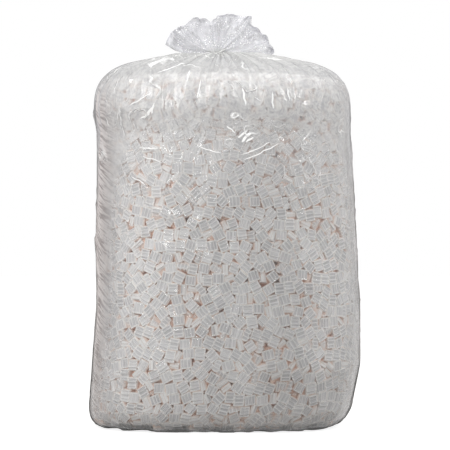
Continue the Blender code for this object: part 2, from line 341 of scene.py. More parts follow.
def first_places(size, count, chance):
    """Where the peanuts start: rows against the layer's face at 0, and the rest at random behind."""
    places = chance.random((count, 3)) * size
    facing = min(count, int(size[0] * size[1] * WALL_PER_M2))
    across = int(math.sqrt(facing * size[0] / size[1]))
    down = math.ceil(facing / across)
    spot = np.arange(facing)
    row = spot // across
    places[:facing, 0] = (spot % across + 0.5 * (row % 2) + 0.25) * size[0] / across
    places[:facing, 1] = (row + 0.5) * size[1] / down
    places[:facing, :2] += chance.uniform(-START_SHIFT, START_SHIFT, (facing, 2))
    places[:facing, 2] = chance.uniform(*START_DEPTHS, facing)
    places[facing:, 2] = chance.uniform(START_BEHIND, size[2], count - facing)
    return places


def pack_layer(size, count, seed, wrap):
    """Places and turns of peanuts that pushed each other apart in a layer, pressed to its face at 0.

    Each peanut is four balls in a plane. Balls that overlap move apart, and the peanut follows them.
    """
    chance = np.random.default_rng(seed)
    places = first_places(size, count, chance)
    turns = lying_turns(count, chance)
    long, wide = PEANUT_LENGTH / 2 - BALL_RADIUS, PEANUT_WIDTH / 2 - BALL_RADIUS
    balls = np.array([[x, y, 0] for x in (-long, long) for y in (-wide, wide)])
    for step in range(PACK_STEPS):
        if step % PAIRS_EVERY == 0:
            first, second = near_pairs(places, size, PAIR_REACH, wrap)
        at = places[:, None] + np.einsum("nij,bj->nbi", turns, balls)
        push = np.zeros_like(at)
        gap = at[first][:, :, None] - at[second][:, None]
        if wrap:
            gap[..., 0] -= size[0] * np.round(gap[..., 0] / size[0])
        far = np.linalg.norm(gap, axis=-1)
        inside = np.maximum(2 * BALL_RADIUS - far, 0)
        part = gap * (inside / np.maximum(far, 1e-6) * PUSH_SHARE)[..., None]
        for ids, move in ((first, part.sum(2)), (second, -part.sum(1))):
            for ball in range(len(balls)):
                for axis in range(3):
                    push[:, ball, axis] += np.bincount(ids, move[:, ball, axis], count)
        at += push
        low = np.maximum(BALL_RADIUS - at[..., 2], 0)
        high = np.maximum(at[..., 2] - size[2] + BALL_RADIUS, 0)
        at[..., 2] += low - high
        if not wrap:
            at[..., 0] = np.clip(at[..., 0], BALL_RADIUS, size[0] - BALL_RADIUS)
        at[..., 1] = np.clip(at[..., 1], BALL_RADIUS, size[1] - BALL_RADIUS)
        places = at.mean(1)
        if step < SETTLING_SHARE * PACK_STEPS:
            places[:, 2] -= SETTLE
        spread = np.einsum("nbi,bj->nij", at - places[:, None], balls)
        u, _, v = np.linalg.svd(spread)
        u[..., 2] *= np.sign(np.linalg.det(u @ v))[:, None]
        turns = u @ v
    return places, turns


def spread_pieces(shape, places, turns, chance):
    """Every peanut's points in its layer."""
    whole = chance.uniform(*PEANUT_SIZES, (len(places), 1, 1))
    sizes = whole * chance.uniform(*SIDE_SIZES, (len(places), 1, 3))
    return np.einsum("nij,npj->npi", turns, shape[0][None] * sizes) + places[:, None]


def ring_faces(rows, columns):
    """The faces of a skin of closed rings, each of so many points."""
    index = np.arange(rows * columns).reshape(rows, columns)
    after = np.roll(index, -1, axis=1)
    return np.stack([index[:-1], after[:-1], after[1:], index[1:]], -1).reshape(-1, 4)


def mesh_piece(name, points, faces, material, values):
    """An object from points and faces of four corners. Each value is one number a point."""
    mesh = bpy.data.meshes.new(name)
    points = np.ascontiguousarray(points.reshape(-1, 3), dtype=np.float32)
    faces = np.ascontiguousarray(faces, dtype=np.int32)
    mesh.vertices.add(len(points))
    mesh.vertices.foreach_set("co", points.ravel())
    mesh.loops.add(faces.size)
    mesh.loops.foreach_set("vertex_index", faces.ravel())
    mesh.polygons.add(len(faces))
    mesh.polygons.foreach_set("loop_start", np.arange(0, faces.size, 4, dtype=np.int32))
    mesh.polygons.foreach_set("use_smooth", np.full(len(faces), True))
    for key, numbers in values.items():
        layer = mesh.attributes.new(key, "FLOAT", "POINT").data
        layer.foreach_set("value", np.ascontiguousarray(numbers.ravel(), dtype=np.float32))
    mesh.update(calc_edges=True)
    mesh.validate()
    mesh.materials.append(material)
    made = bpy.data.objects.new(name, mesh)
    bpy.context.scene.collection.objects.link(made)
    return made


def foam_piece(name, shape, moved, depth, material):
    """A piece of many peanuts, from the points of each and each point's depth in the heap."""
    chance = np.random.default_rng(SEED + len(name))
    values = {"depth": depth, "tone": np.repeat(chance.random(len(moved)), moved.shape[1])}
    for key, numbers in shape[2].items():
        values[key] = np.tile(numbers, len(moved))
    offsets = np.arange(len(moved))[:, None, None] * len(shape[0])
    faces = (shape[1][None] + offsets).reshape(-1, 4)
    made = mesh_piece(name, moved, faces, material, values)
    made.data.set_sharp_from_angle(angle=SHARP_EDGE)
    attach(made, "root")
    return made


# ---- materials


class Number:
    """A node's output as a number, so that shader maths is written as an expression."""

    def __init__(self, finish, socket):
        self.finish, self.socket = finish, socket

    def math(self, operation, first, second=0.0):
        """The result of a Math node on two numbers."""
        return self.finish.number("ShaderNodeMath", {"operation": operation}, {0: first, 1: second})

    def __add__(self, other):
        return self.math("ADD", self, other)

    __radd__ = __add__

    def __sub__(self, other):
        return self.math("SUBTRACT", self, other)

    def __rsub__(self, other):
        return self.math("SUBTRACT", other, self)

    def __mul__(self, other):
        return self.math("MULTIPLY", self, other)

    __rmul__ = __mul__

    def clamp(self):
        return self.finish.number("ShaderNodeClamp", {}, {0: self})

    def size(self):
        return self.math("ABSOLUTE", self)

    def most(self, other):
        return self.math("MAXIMUM", self, other)

    def least(self, other):
        return self.math("MINIMUM", self, other)

    def times(self, factor, plus):
        """The number times a factor, plus another, in one node."""
        sockets = {0: self, 1: factor, 2: plus}
        return self.finish.number("ShaderNodeMath", {"operation": "MULTIPLY_ADD"}, sockets)

    def peak(self, middle, width):
        """1 where the number is the middle value, falling to 0 at a width from it."""
        return (self - middle).size().times(-1 / width, 1).clamp()

    def between(self, low, high):
        """0 below low and 1 above high, smooth between them."""
        sockets = {"Value": self, "From Min": low, "From Max": high}
        return self.finish.number("ShaderNodeMapRange", {"interpolation_type": "SMOOTHSTEP"}, sockets)


class Finish:
    """A material, or a world, that is put together node by node."""

    def __init__(self, name, block=None):
        self.block = block or bpy.data.materials.new(name)
        self.block.use_nodes = True
        self.tree = self.block.node_tree
        self.tree.nodes.clear()

    def node(self, kind, settings=None, sockets=None):
        """A node of a type, with its settings and the values or links of its sockets."""
        made = self.tree.nodes.new(kind)
        for key, value in (settings or {}).items():
            setattr(made, key, value)
        for key, value in (sockets or {}).items():
            if isinstance(value, Number):
                value = value.socket
            if isinstance(value, bpy.types.Node):
                value = value.outputs[0]
            if isinstance(value, bpy.types.NodeSocket):
                self.tree.links.new(value, made.inputs[key])
            else:
                made.inputs[key].default_value = value
        return made

    def number(self, kind, settings=None, sockets=None, output=0):
        """One output of a new node, as a number."""
        return Number(self, self.node(kind, settings, sockets).outputs[output])

    def attribute(self, name):
        """A number that the mesh holds at each point."""
        return self.number("ShaderNodeAttribute", {"attribute_name": name}, output=2)

    def noise(self, vector, scale, detail=3.0, **more):
        """A noise from 0 to 1, at so many cells a metre."""
        sockets = {"Vector": vector, "Scale": scale, "Detail": detail, **more}
        return self.number("ShaderNodeTexNoise", {}, sockets)

    def axes(self, vector):
        """The three parts of a vector."""
        apart = self.node("ShaderNodeSeparateXYZ", {}, {0: vector})
        return [Number(self, apart.outputs[k]) for k in range(3)]

    def shifted(self, place, scale, detail, reach):
        """The place, moved to and fro by up to the reach along each axis."""
        sockets = {"Vector": place, "Scale": scale, "Detail": detail}
        shift = self.node("ShaderNodeTexNoise", {}, sockets).outputs["Color"]
        sockets = {0: shift, 1: reach, 2: place}
        return self.node("ShaderNodeVectorMath", {"operation": "MULTIPLY_ADD"}, sockets).outputs[0]

    def lines(self, bent, scale, level, width, shown):
        """Thin curving lines where a noise passes a level, in the patches that another shows."""
        return self.noise(bent, scale, 1.0).peak(level, width) * shown

    def colour(self, factor, first, second):
        """From the first colour to the second as factor goes from 0 to 1."""
        made = self.node("ShaderNodeMix", {"data_type": "RGBA"}, {0: factor, 6: first, 7: second})
        return made.outputs[2]

    def finish(self, shader, kind="ShaderNodeOutputMaterial"):
        self.node(kind, {}, {0: shader})
        return self.block


def foam_finish():
    """Expanded foam: fine beads, painted highlights on its ribs and rims, a painted shadow round each
    peanut's outline, and a painted warm shade deep between the pieces.
    """
    f = Finish("white foam")
    place = f.node("ShaderNodeTexCoord").outputs["Object"]
    beads = f.number("ShaderNodeTexVoronoi", {}, {"Vector": place, "Scale": 420.0})
    mottle = f.noise(place, 95.0, 2.0)
    depth = f.attribute("depth")
    # Painted warm shade between the pieces, growing with a point's depth in the heap
    deep = depth.between(0.0005, 0.008) * 0.42 + depth.between(0.006, 0.022) * 0.46
    tone, rib = f.attribute("tone"), f.attribute("rib")
    along, across, up = (f.attribute(key).size() for key in ("along", "across", "up"))
    # The middle one of the three is near 1 only where two faces of a peanut meet
    edge = along + across + up - along.most(across).most(up) - along.least(across).least(up)
    light = f.colour(tone, (0.65, 0.648, 0.658, 1), (0.88, 0.878, 0.882, 1))
    worn = f.colour((mottle * 0.3).clamp(), light, (0.69, 0.682, 0.685, 1))
    # Painted highlight along the rib crests
    ribbed = f.colour(rib.between(0.1, 0.9) * 0.9, worn, (0.99, 0.99, 0.985, 1))
    # Painted highlight on the rims where two faces of a peanut meet
    rim_highlit = f.colour(edge.between(0.63, 0.84), ribbed, (1.0, 1.0, 0.99, 1))
    # Painted shadow: a dark warm line round each peanut's outline
    outline_shaded = f.colour(edge.between(0.92, 0.99) * 0.5, rim_highlit, (0.62, 0.47, 0.40, 1))
    colour = f.colour(deep, outline_shaded, (0.86, 0.55, 0.38, 1))
    relief = {"Strength": 0.3, "Distance": 0.0005, "Height": beads + mottle}
    relief = f.node("ShaderNodeBump", {}, relief)
    skin = {"Base Color": colour, "Roughness": 0.72, "Normal": relief, "Specular IOR Level": 0.3}
    return f.finish(f.node("ShaderNodeBsdfPrincipled", {}, skin))


def painted_glints(f, across, up):
    """1 on the strokes of GLINTS, fading to 0 at their sides and ends."""
    glint = None
    for middle_x, middle_z, slope, reach, width, bend in GLINTS:
        c, s = math.cos(math.radians(slope)), math.sin(math.radians(slope))
        x, z = middle_x + GLINT_SHIFT, middle_z + GLINT_SHIFT
        way = across.times(c, up.times(s, -x * c - z * s))
        off = across.times(-s, up.times(c, x * s - z * c))
        bow = way * way
        stroke = bow.times(-bend, off).peak(0.0, width) * bow.times(-1 / reach**2, 1.0).clamp()
        glint = stroke if glint is None else glint.most(stroke)
    return glint.between(0.0, 0.6)


def film_finish():
    """Clear film: gloss over what shows through, milky where it is gathered or creased white, with
    painted highlights, painted shade in its wrinkles and painted dark lines at its edges and foot.
    """
    f = Finish("clear film")
    place = f.node("ShaderNodeTexCoord").outputs["Object"]
    gather, slack, veil = f.attribute("gather"), f.attribute("slack"), f.attribute("veil")
    strand, contact_shadow, rim = f.attribute("strand"), f.attribute("contact_shadow"), f.attribute("rim")
    free = f.attribute("free")

    bent = f.shifted(place, 7.0, 3.0, (0.16, 0.16, 0.12))
    long_way = f.node("ShaderNodeMapping", {}, {"Vector": bent, "Scale": (1.0, 1.0, 0.35)})
    _, back, high = f.axes(f.shifted(place, 7.0, 3.0, (0.03, 0.03, 0.03)))
    slanted = {0: high * 130.0 - back * 60.0, 1: high * 5.0 + back * 11.0}
    slanted = f.node("ShaderNodeCombineXYZ", {}, slanted)
    _, _, height = f.axes(place)
    low = 1 - height.between(0.03, 0.36)
    across, deep, up = f.axes(f.shifted(place, 45.0, 1.0, (0.008, 0.008, 0.008)))
    on_front = deep.times(-40.0, 0.0).clamp()
    dome = up.between(SHOULDER_HEIGHT - 0.02, SHOULDER_HEIGHT + 0.12)

    # Folds, wrinkles and creases
    folds = {"Vector": long_way, "Scale": 13.0, "Detail": 3.0, "Roughness": 0.6}
    folds = f.number("ShaderNodeTexNoise", {"noise_type": "RIDGED_MULTIFRACTAL"}, folds)
    fine = f.noise(long_way, 75.0, Distortion=0.6)
    crumple = f.noise(place, 150.0, 2.0)
    wrinkle = f.noise(slanted, 1.0, 2.0)
    whorl = f.noise(bent, 60.0, Distortion=1.6)
    crease = fine.between(0.58, 0.70) * folds.between(0.3, 1.2)
    # Thin white crease lines, partly the film's stress whitening and partly painted highlights
    lines = f.lines(long_way, 6.5, 0.5, 0.012, f.noise(place, 9.0, 1.0).between(0.50, 0.60))
    lines = lines + f.lines(bent, 9.0, 0.47, 0.010, f.noise(place, 11.0, 1.0).between(0.54, 0.62))
    lines = lines * (veil * 0.85 + 0.15)
    # Painted highlights: small white sparkles, shown on the ruffle
    sparkle = f.noise(place, 230.0, 1.0).between(0.61, 0.68)
    sparkle = sparkle * f.noise(place, 30.0, 1.0).between(0.42, 0.58)
    glint = painted_glints(f, across, up) * on_front * (1 - free)
    raised = gather * (crumple * 0.9 + strand * 0.8)
    raised = folds * 0.5 + fine * 0.7 + slack * wrinkle * 1.8 + raised + lines
    relief = {"Strength": 0.75, "Distance": 0.0035, "Height": raised}
    relief = f.node("ShaderNodeBump", {}, relief)

    # How milky it is
    facing = f.number("ShaderNodeLayerWeight", {}, {"Blend": 0.30}, output=1)
    grazing = f.number("ShaderNodeLayerWeight", {}, {"Blend": 0.5}, output=1)
    gathered = gather * (0.16 + strand * 0.30)
    haze = 0.07 + veil * 0.27 + dome * 0.01 + gathered + slack * (0.56 + wrinkle * 0.34)
    haze = haze + facing * 0.25 + crease * (0.10 + veil * 0.20)
    haze = haze * (1 - low * 0.45) + lines * 0.8 + contact_shadow
    loose = 0.28 + facing * 0.12 + strand * 0.12 + sparkle * 0.6 + rim * 0.35
    haze = (haze * (1 - free) + loose * free + glint).clamp()

    # Its colour where it is milky, with painted shade and painted highlights
    whorls = whorl.between(0.40, 0.58) * veil
    tint = f.colour(whorls, (0.70, 0.70, 0.72, 1), (0.96, 0.96, 0.955, 1))
    # Painted shade in the wrinkles of the slack film at the sides
    wrinkle_shade = f.colour(wrinkle.between(0.40, 0.54), (0.36, 0.30, 0.29, 1), (0.82, 0.75, 0.73, 1))
    tint = f.colour((slack * 1.2).clamp(), tint, wrinkle_shade)
    # Painted shade where the film turns away from view
    turned_away_shade = grazing.between(0.55, 0.92) * veil * (1 - gather) * 0.7
    tint = f.colour(turned_away_shade, tint, (0.52, 0.53, 0.58, 1))
    # Painted shade: the milky film of the dome made darker
    tint = f.colour(dome * 0.25, tint, (0.66, 0.66, 0.67, 1))
    gathers = f.colour(strand.between(0.3, 0.65), (0.62, 0.62, 0.60, 1), (0.91, 0.91, 0.88, 1))
    tint = f.colour(gather * 0.8, tint, gathers)
    tint = f.colour(free, tint, (0.76, 0.76, 0.815, 1))
    # Painted shade: a darker line along the ruffle's edge
    tint = f.colour(rim, tint, (0.62, 0.62, 0.68, 1))
    # White for the crease lines, partly whitened film and partly painted highlights, and for the painted
    # glints and sparkles
    tint = f.colour((lines + glint + sparkle * free).clamp(), tint, (0.99, 0.99, 0.98, 1))
    # Painted contact shadow along the foot, near black
    tint = f.colour(contact_shadow.clamp(), tint, (0.03, 0.027, 0.025, 1))

    milky = {"Base Color": tint, "Roughness": 0.45, "Normal": relief, "Specular IOR Level": 0.3}
    milky = f.node("ShaderNodeBsdfPrincipled", {}, milky)
    clear = f.node("ShaderNodeBsdfTransparent", {}, {"Color": (0.985, 0.985, 0.985, 1)})
    through = f.node("ShaderNodeMixShader", {}, {0: haze, 1: clear, 2: milky})
    gloss = {"Base Color": (1, 1, 1, 1), "Metallic": 1.0, "Roughness": 0.08, "Normal": relief}
    gloss = f.node("ShaderNodeBsdfPrincipled", {}, gloss)
    mirror = f.number("ShaderNodeFresnel", {}, {"IOR": 1.52, "Normal": relief})
    mirror = mirror * 0.85 * (1 - (slack * 0.75 + contact_shadow + dome * 0.25).clamp())
    lit = f.node("ShaderNodeMixShader", {}, {0: mirror, 1: through, 2: gloss})

    # A painted dark line where the film turns away, stronger near the foot as a painted shade there
    edge = grazing.between(0.80, 0.97) + grazing.between(0.70, 0.92) * low * 0.62
    edge = (edge * (1 - gather * 0.75) * 0.75).clamp()
    edge_shade = f.node("ShaderNodeBsdfDiffuse", {}, {"Color": (0.16, 0.155, 0.15, 1)})
    return f.finish(f.node("ShaderNodeMixShader", {}, {0: edge, 1: lit, 2: edge_shade}))


def tie_finish():
    """Plastic-coated wire: pale and satin, with faint rub marks."""
    f = Finish("tie plastic")
    place = f.node("ShaderNodeTexCoord").outputs["Object"]
    rub = f.noise(place, 260.0)
    colour = f.colour(rub, (0.90, 0.90, 0.88, 1), (0.78, 0.78, 0.76, 1))
    relief = f.node("ShaderNodeBump", {}, {"Strength": 0.3, "Distance": 0.0003, "Height": rub})
    coat = {"Base Color": colour, "Roughness": 0.35, "Normal": relief}
    return f.finish(f.node("ShaderNodeBsdfPrincipled", {}, coat))


# ---- the film

# Painted highlights, as white strokes on the front: middle x, middle z, slope in degrees, half length,
# half width, bend
GLINT_SHIFT = 0.004
GLINTS = [
    (-0.144, 0.978, 21, 0.044, 0.0020, 0.0),
    (-0.227, 0.892, 31, 0.038, 0.0030, 0.0),
    (-0.098, 0.954, 76, 0.018, 0.0028, 0.0),
    (-0.071, 0.915, 78, 0.032, 0.0020, 0.0),
    (0.051, 0.897, -79, 0.028, 0.0030, 0.0),
    (0.128, 0.888, -88, 0.024, 0.0026, 0.0),
    (0.170, 0.905, -80, 0.019, 0.0022, 0.0),
    (-0.204, 0.760, -3, 0.030, 0.0026, 2.4),
    (-0.195, 0.732, -16, 0.036, 0.0018, 0.0),
    (-0.043, 0.756, -18, 0.038, 0.0020, 1.0),
    (0.096, 0.748, 25, 0.060, 0.0022, 1.6),
    (0.083, 0.758, 23, 0.048, 0.0018, 1.2),
    (0.047, 0.798, 38, 0.018, 0.0042, 0.0),
    (0.056, 0.790, 44, 0.020, 0.0048, 0.0),
    (0.064, 0.783, 31, 0.014, 0.0034, 0.0),
    (-0.202, 0.858, 48, 0.024, 0.0042, 0.0),
    (-0.193, 0.866, 74, 0.018, 0.0030, 0.0),
    (-0.214, 0.846, 24, 0.016, 0.0026, 0.0),
    (0.016, 0.810, -40, 0.016, 0.0024, 0.0),
    (-0.233, 0.676, -27, 0.026, 0.0026, 0.0),
    (0.124, 1.007, -5, 0.036, 0.0018, 0.0),
]

# The ruffle's edge as it spreads to the left and right of the neck: lean from upright, length
RUFFLE_EDGE = [
    (-80, 0.142),
    (-73, 0.141),
    (-65, 0.134),
    (-49, 0.116),
    (-31, 0.107),
    (-21, 0.097),
    (-11, 0.082),
    (-1, 0.093),
    (21, 0.109),
    (32, 0.121),
    (46, 0.139),
    (50, 0.130),
    (54, 0.122),
    (60, 0.130),
    (67, 0.134),
    (72, 0.146),
    (82, 0.150),
    (86, 0.160),
    (92, 0.158),
]
RUFFLE_OPEN = math.radians(15)
RUFFLE_FOLD = math.radians(7)
RUFFLE_FOLDS = 23
NECK_PINCH = 0.0035

# The film's own forms: how many, and how far out from its smooth skin in metres
CREASES = 430
DOME_PLEATS = 46
SMALL_PLEATS = 97
PLEAT_DEPTH = 0.011
DOME_PUFF = 0.007
FOOT_BUMP = 0.006
FLOOR_GAP = 0.0004

# The slack bands at the left and right edges: middle and half width as shares of the girth, most slack
SLACK_BANDS = [(0.272, 0.066, 1.0), (0.738, 0.045, 0.65)]


def film_rows(profile):
    """Lengths along the film for the rows of its grid."""
    return np.concatenate(
        [
            np.linspace(0, profile.foot, 16)[:-1],
            np.linspace(profile.foot, profile.foot + 0.1, 16)[:-1],
            np.linspace(profile.foot + 0.1, profile.shoulder, 104)[:-1],
            np.linspace(profile.shoulder, profile.end, 66),
        ]
    )


def add_creases(relief, shares, ways, creases):
    """Long narrow ridges. Each is (share, way, slope, length, width, lift, bend)."""
    for share, way, slope, length, width, lift, bend in creases:
        reach = length / 2 + 3 * width
        round_gap = ((shares - share + 0.5) % 1.0 - 0.5) * GIRTH
        rows = np.flatnonzero(np.abs(ways - way) < reach)
        columns = np.flatnonzero(np.abs(round_gap) < reach)
        du, dv = round_gap[columns][None], (ways[rows] - way)[:, None]
        along = du * math.cos(slope) + dv * math.sin(slope)
        across = dv * math.cos(slope) - du * math.sin(slope) - bend * along**2
        fade = np.clip(1 - (2 * along / length) ** 2, 0, 1)
        relief[np.ix_(rows, columns)] += lift * fade * np.exp(-((across / width) ** 2))


def film_creases(profile):
    """Creases of the film over the body: mostly upright or slanting, more of them near the top."""
    chance = random.Random(SEED)
    made = []
    for _ in range(CREASES):
        way = chance.uniform(profile.foot, profile.end - 0.10)
        high = (way - profile.foot) / (profile.end - profile.foot)
        slope = chance.gauss(math.pi / 2, 0.55 if high > 0.6 else 1.0)
        lift = chance.uniform(0.0006, 0.0024) * (0.7 + 0.8 * high)
        share, length = chance.random(), chance.uniform(0.03, 0.13)
        width, bend = chance.uniform(0.004, 0.009), chance.uniform(-4, 4)
        made.append((share, way, slope, length, width, lift, bend))
    return made


def side_slack(share):
    """Near 1 at the bag's left and right edges, where the film stands off the peanuts."""
    bands = [
        most * np.exp(-(np.abs((share % 1.0 - middle) / half_width) ** 3))
        for middle, half_width, most in SLACK_BANDS
    ]
    return bands[0] + bands[1]


def dome_pleats(share, way):
    """The pleats that run up the dome to the neck, from 0 in their valleys to 1 on their crests."""
    wander = 1.6 * grid_noise(share, way * 0, 23, 1.0, 5) + 0.5 * grid_noise(share, way, 40, 0.12, 6)
    broad = 1 - np.abs(np.sin(math.pi * (share * DOME_PLEATS + wander))) ** 0.8
    small = share * SMALL_PLEATS + 2.0 * grid_noise(share, way * 0, 31, 1.0, 7)
    return 0.7 * broad + 0.3 * (1 - np.abs(np.sin(math.pi * small)))


def film_body(profile, shares, drape):
    """The film from the foot to the neck: its rows of points, and the values that its material reads."""
    ways = film_rows(profile)
    share, way = np.meshgrid(shares, ways)
    shoulder = profile.shoulder
    points = profile.at(share, way)
    normal = profile.normal(share, way)
    gather = smooth_step(way, shoulder + 0.06, profile.end - 0.02)
    on_body = smooth_step(way, profile.foot, profile.foot + 0.05)
    slack_ends = 1 - smooth_step(way, shoulder - 0.01, shoulder + 0.12)

    relief = np.zeros_like(way)
    add_creases(relief, shares, ways, film_creases(profile))
    relief += (grid_noise(share, way, 26, 0.16, 1) - 0.5) * 0.005
    relief += (grid_noise(share, way, 90, 0.05, 2) - 0.5) * 0.0015
    sunk, furthest = drape(share, way)
    relief -= sunk
    climb = smooth_step(way, shoulder - 0.05, shoulder + 0.16)
    left = np.clip((profile.end - way) / (profile.end - shoulder), 0, 1)
    relief += climb * (dome_pleats(share, way) - 0.6) * PLEAT_DEPTH * np.clip(left * 2.2, 0.12, 1)
    relief += DOME_PUFF * smooth_step(left, 0.02, 0.10) * (1 - smooth_step(left, 0.22, 0.5))
    relief = np.maximum(relief * on_body, -furthest)
    points = points + normal * relief[..., None]

    bumps = smooth_step(grid_noise(share, way, 64, 0.05, 41), 0.35, 0.75)
    points[..., 2] += FOOT_BUMP * bumps * np.exp(-(((way - profile.foot) / 0.022) ** 2))
    points[..., 2] = np.maximum(points[..., 2], FLOOR_GAP)
    values = {
        "gather": gather,
        "slack": side_slack(share) * on_body * slack_ends,
        "veil": smooth_step(way, shoulder - 0.34, shoulder + 0.02),
        "strand": grid_noise(share, way * 0, 230, 1.0, 31),
        # Painted contact shadow: near black where the film comes down to the floor
        "contact_shadow": 1 - smooth_step(points[..., 2] - 0.005 * bumps, 0.0055, 0.0088),
    }
    return points, values


def film_top(shares):
    """Rows of points for the neck and the ruffle above it, a fan whose folds lean to and fro."""
    angle = np.interp(shares % 1.0, ROUND_SHARE, ROUND_ANGLE)
    tie_low, tie_high = TIE_LOW[2] - 0.002, TIE_LOW[2] + 0.008
    pinch = 0.5 + 0.5 * np.cos(angle * 24 + 2 * np.sin(angle * 5))
    neck = NECK_RADIUS - NECK_PINCH * pinch
    neck_x, neck_y = neck * np.cos(angle), neck * np.sin(angle)
    rows = []
    for height in (tie_low, (tie_low + tie_high) / 2, tie_high):
        rows.append(np.stack([NECK_LEAN + neck_x, neck_y, np.full_like(neck, height)], -1))
    front = np.where(np.sin(angle) < 0, 1.0, -1.0)
    leans, lengths = np.array(RUFFLE_EDGE).T
    sweep = 1 - np.abs((shares - 0.25) % 1.0 - 0.5) * 2
    lean = np.radians(leans[0] + (leans[-1] - leans[0]) * sweep)
    zero = np.zeros_like(angle)
    uneven = 1.1 * grid_noise(shares, zero, 17, 1.0, 15)
    folds = np.sin(2 * math.pi * (shares * RUFFLE_FOLDS + uneven))
    folds = folds * (0.6 + 0.8 * grid_noise(shares, zero, 29, 1.0, 16))
    ragged = 1 + 0.03 * (grid_noise(shares, zero, 40, 0.5, 14) - 0.6)
    reach = np.interp(np.degrees(lean), leans, lengths) * ragged
    for row in range(1, RUFFLE_ROWS + 1):
        share = row / RUFFLE_ROWS
        way = np.full_like(angle, share * 0.14)
        crumple = (grid_noise(shares, way, 80, 0.018, 11) - 0.5) * share
        opened = RUFFLE_OPEN * np.sin(sweep * math.pi) ** 0.5
        beta = front * opened + RUFFLE_FOLD * folds * (1 - 0.2 * share) + 0.42 * crumple
        sway = (grid_noise(shares, way, 46, 0.05, 13) - 0.5) * 0.13 * share
        bulge = np.where(lean < 0, 0.25, 0.12) * (1 - share**2)
        phi = lean * (1 + bulge) + sway
        out = reach * share / np.cos(beta)
        x = NECK_LEAN + neck_x * (1 - share) + out * np.sin(phi) * np.cos(beta)
        y = neck_y * (1 - share) - out * np.sin(beta)
        z = tie_high + out * np.cos(phi) * np.cos(beta)
        rows.append(np.stack([x, y, z], -1))
    return np.array(rows)


def build_film(profile, drape, material):
    """The whole bag as one sheet of film, open at the ruffle's edge."""
    shares = np.arange(COLUMNS) / COLUMNS
    body, on_body = film_body(profile, shares, drape)
    top = film_top(shares)
    points = np.concatenate([body, top])
    on_top = {"gather": 1.0, "slack": 0.0, "veil": 1.0, "contact_shadow": 0.0}
    values = {}
    for key, numbers in on_body.items():
        above = 0.4 * np.repeat(numbers[-1:], len(top), 0)
        if key in on_top:
            above = np.full(top.shape[:2], on_top[key])
        values[key] = np.concatenate([numbers, above])
    up = np.concatenate([np.zeros(len(body)), np.arange(len(top)) / (len(top) - 1)])
    values["rim"] = smooth_step(up, 0.93, 0.99)[:, None] * np.ones(COLUMNS)
    values["free"] = smooth_step(up, 0.02, 0.22)[:, None] * np.ones(COLUMNS)
    film = mesh_piece("bag_film_sheet", points, ring_faces(*points.shape[:2]), material, values)
    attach(film, "root")
    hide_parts("bag_film")
    return film


# ---- the peanuts in the bag


def side_peanuts(heap):
    """The peanuts behind the upright film, packed in a flat layer that is then wrapped round the bag."""
    low, high = heap.foot + 0.015, heap.shoulder + 0.085
    size = (GIRTH * 0.985, high - low, LAYER_DEPTH)
    count = int(size[0] * size[1] * size[2] * PACKED_PER_M3)
    places, turns = pack_layer(size, count, SEED, wrap=True)
    places[:, 0] %= size[0]
    return places, turns, size, low


def wrap_round(heap, points, size, low):
    """From the flat layer to the bag: (points, depth in the heap)."""
    share, way, depth = points[..., 0] / size[0], points[..., 1] + low, points[..., 2]
    stand_off = SLACK_ROOM * side_slack(share)
    at = heap.at(share, way) - heap.normal(share, way) * (depth + stand_off)[..., None]
    return at, depth


def outline_share(x, y, tuck):
    """0 in the middle of the bag, and 1 on its outline less the tuck."""
    n = BODY_SQUARENESS
    across, deep = np.abs(x) / (HALF_WIDTH - tuck), np.abs(y) / (HALF_DEPTH - tuck)
    return (across**n + deep**n) ** (1 / n)


def heap_top(x, y):
    """Height of the heap's top over a point of the floor."""
    share = np.clip(outline_share(x, y, SHOULDER_SLIM), 0, 0.999)
    return SHOULDER_HEIGHT + HEAP_RISE * (1 - share**HEAP_SQUARENESS) ** (1 / HEAP_SQUARENESS)


def least_depths(moved, size):
    """How deep the nearest peanut lies under each cell of the upright layer."""
    shape = (int(size[1] / FIELD_CELL) + 1, int(size[0] / FIELD_CELL) + 1)
    field = np.full(shape, OPEN_DEPTH)
    ends = moved.reshape(len(moved), 2, -1, 3)
    for share in np.linspace(0, 1, 6):
        across = ends[:, 0] * (1 - share) + ends[:, 1] * share
        rows = np.clip((across[..., 1] / FIELD_CELL).astype(int), 0, shape[0] - 1)
        columns = (across[..., 0] / FIELD_CELL).astype(int) % shape[1]
        np.minimum.at(field, (rows, columns), across[..., 2])
    return field


def upright_peanuts(heap, fine, plain, chance, material):
    """The peanuts behind the upright film. Returns (least depths, the layer's size, where it starts)."""
    places, turns, size, low = side_peanuts(heap)
    outer = places[:, 2] < OUTER_DEPTH
    deep = ~outer & (places[:, 2] < DEEPEST)
    moved = spread_pieces(fine, places[outer], turns[outer], chance)
    quarter = (places[outer][:, 0] / size[0] * 4).astype(int) % 4
    names = ["peanuts_back_left", "peanuts_front_left", "peanuts_front_right", "peanuts_back_right"]
    for k, name in enumerate(names):
        at, depth = wrap_round(heap, moved[quarter == k], size, low)
        foam_piece(name, fine, at, depth, material)
    inner = spread_pieces(plain, places[deep], turns[deep], chance)
    at, depth = wrap_round(heap, inner, size, low)
    foam_piece("peanuts_behind", plain, at, depth, material)
    return least_depths(moved, size), size, low


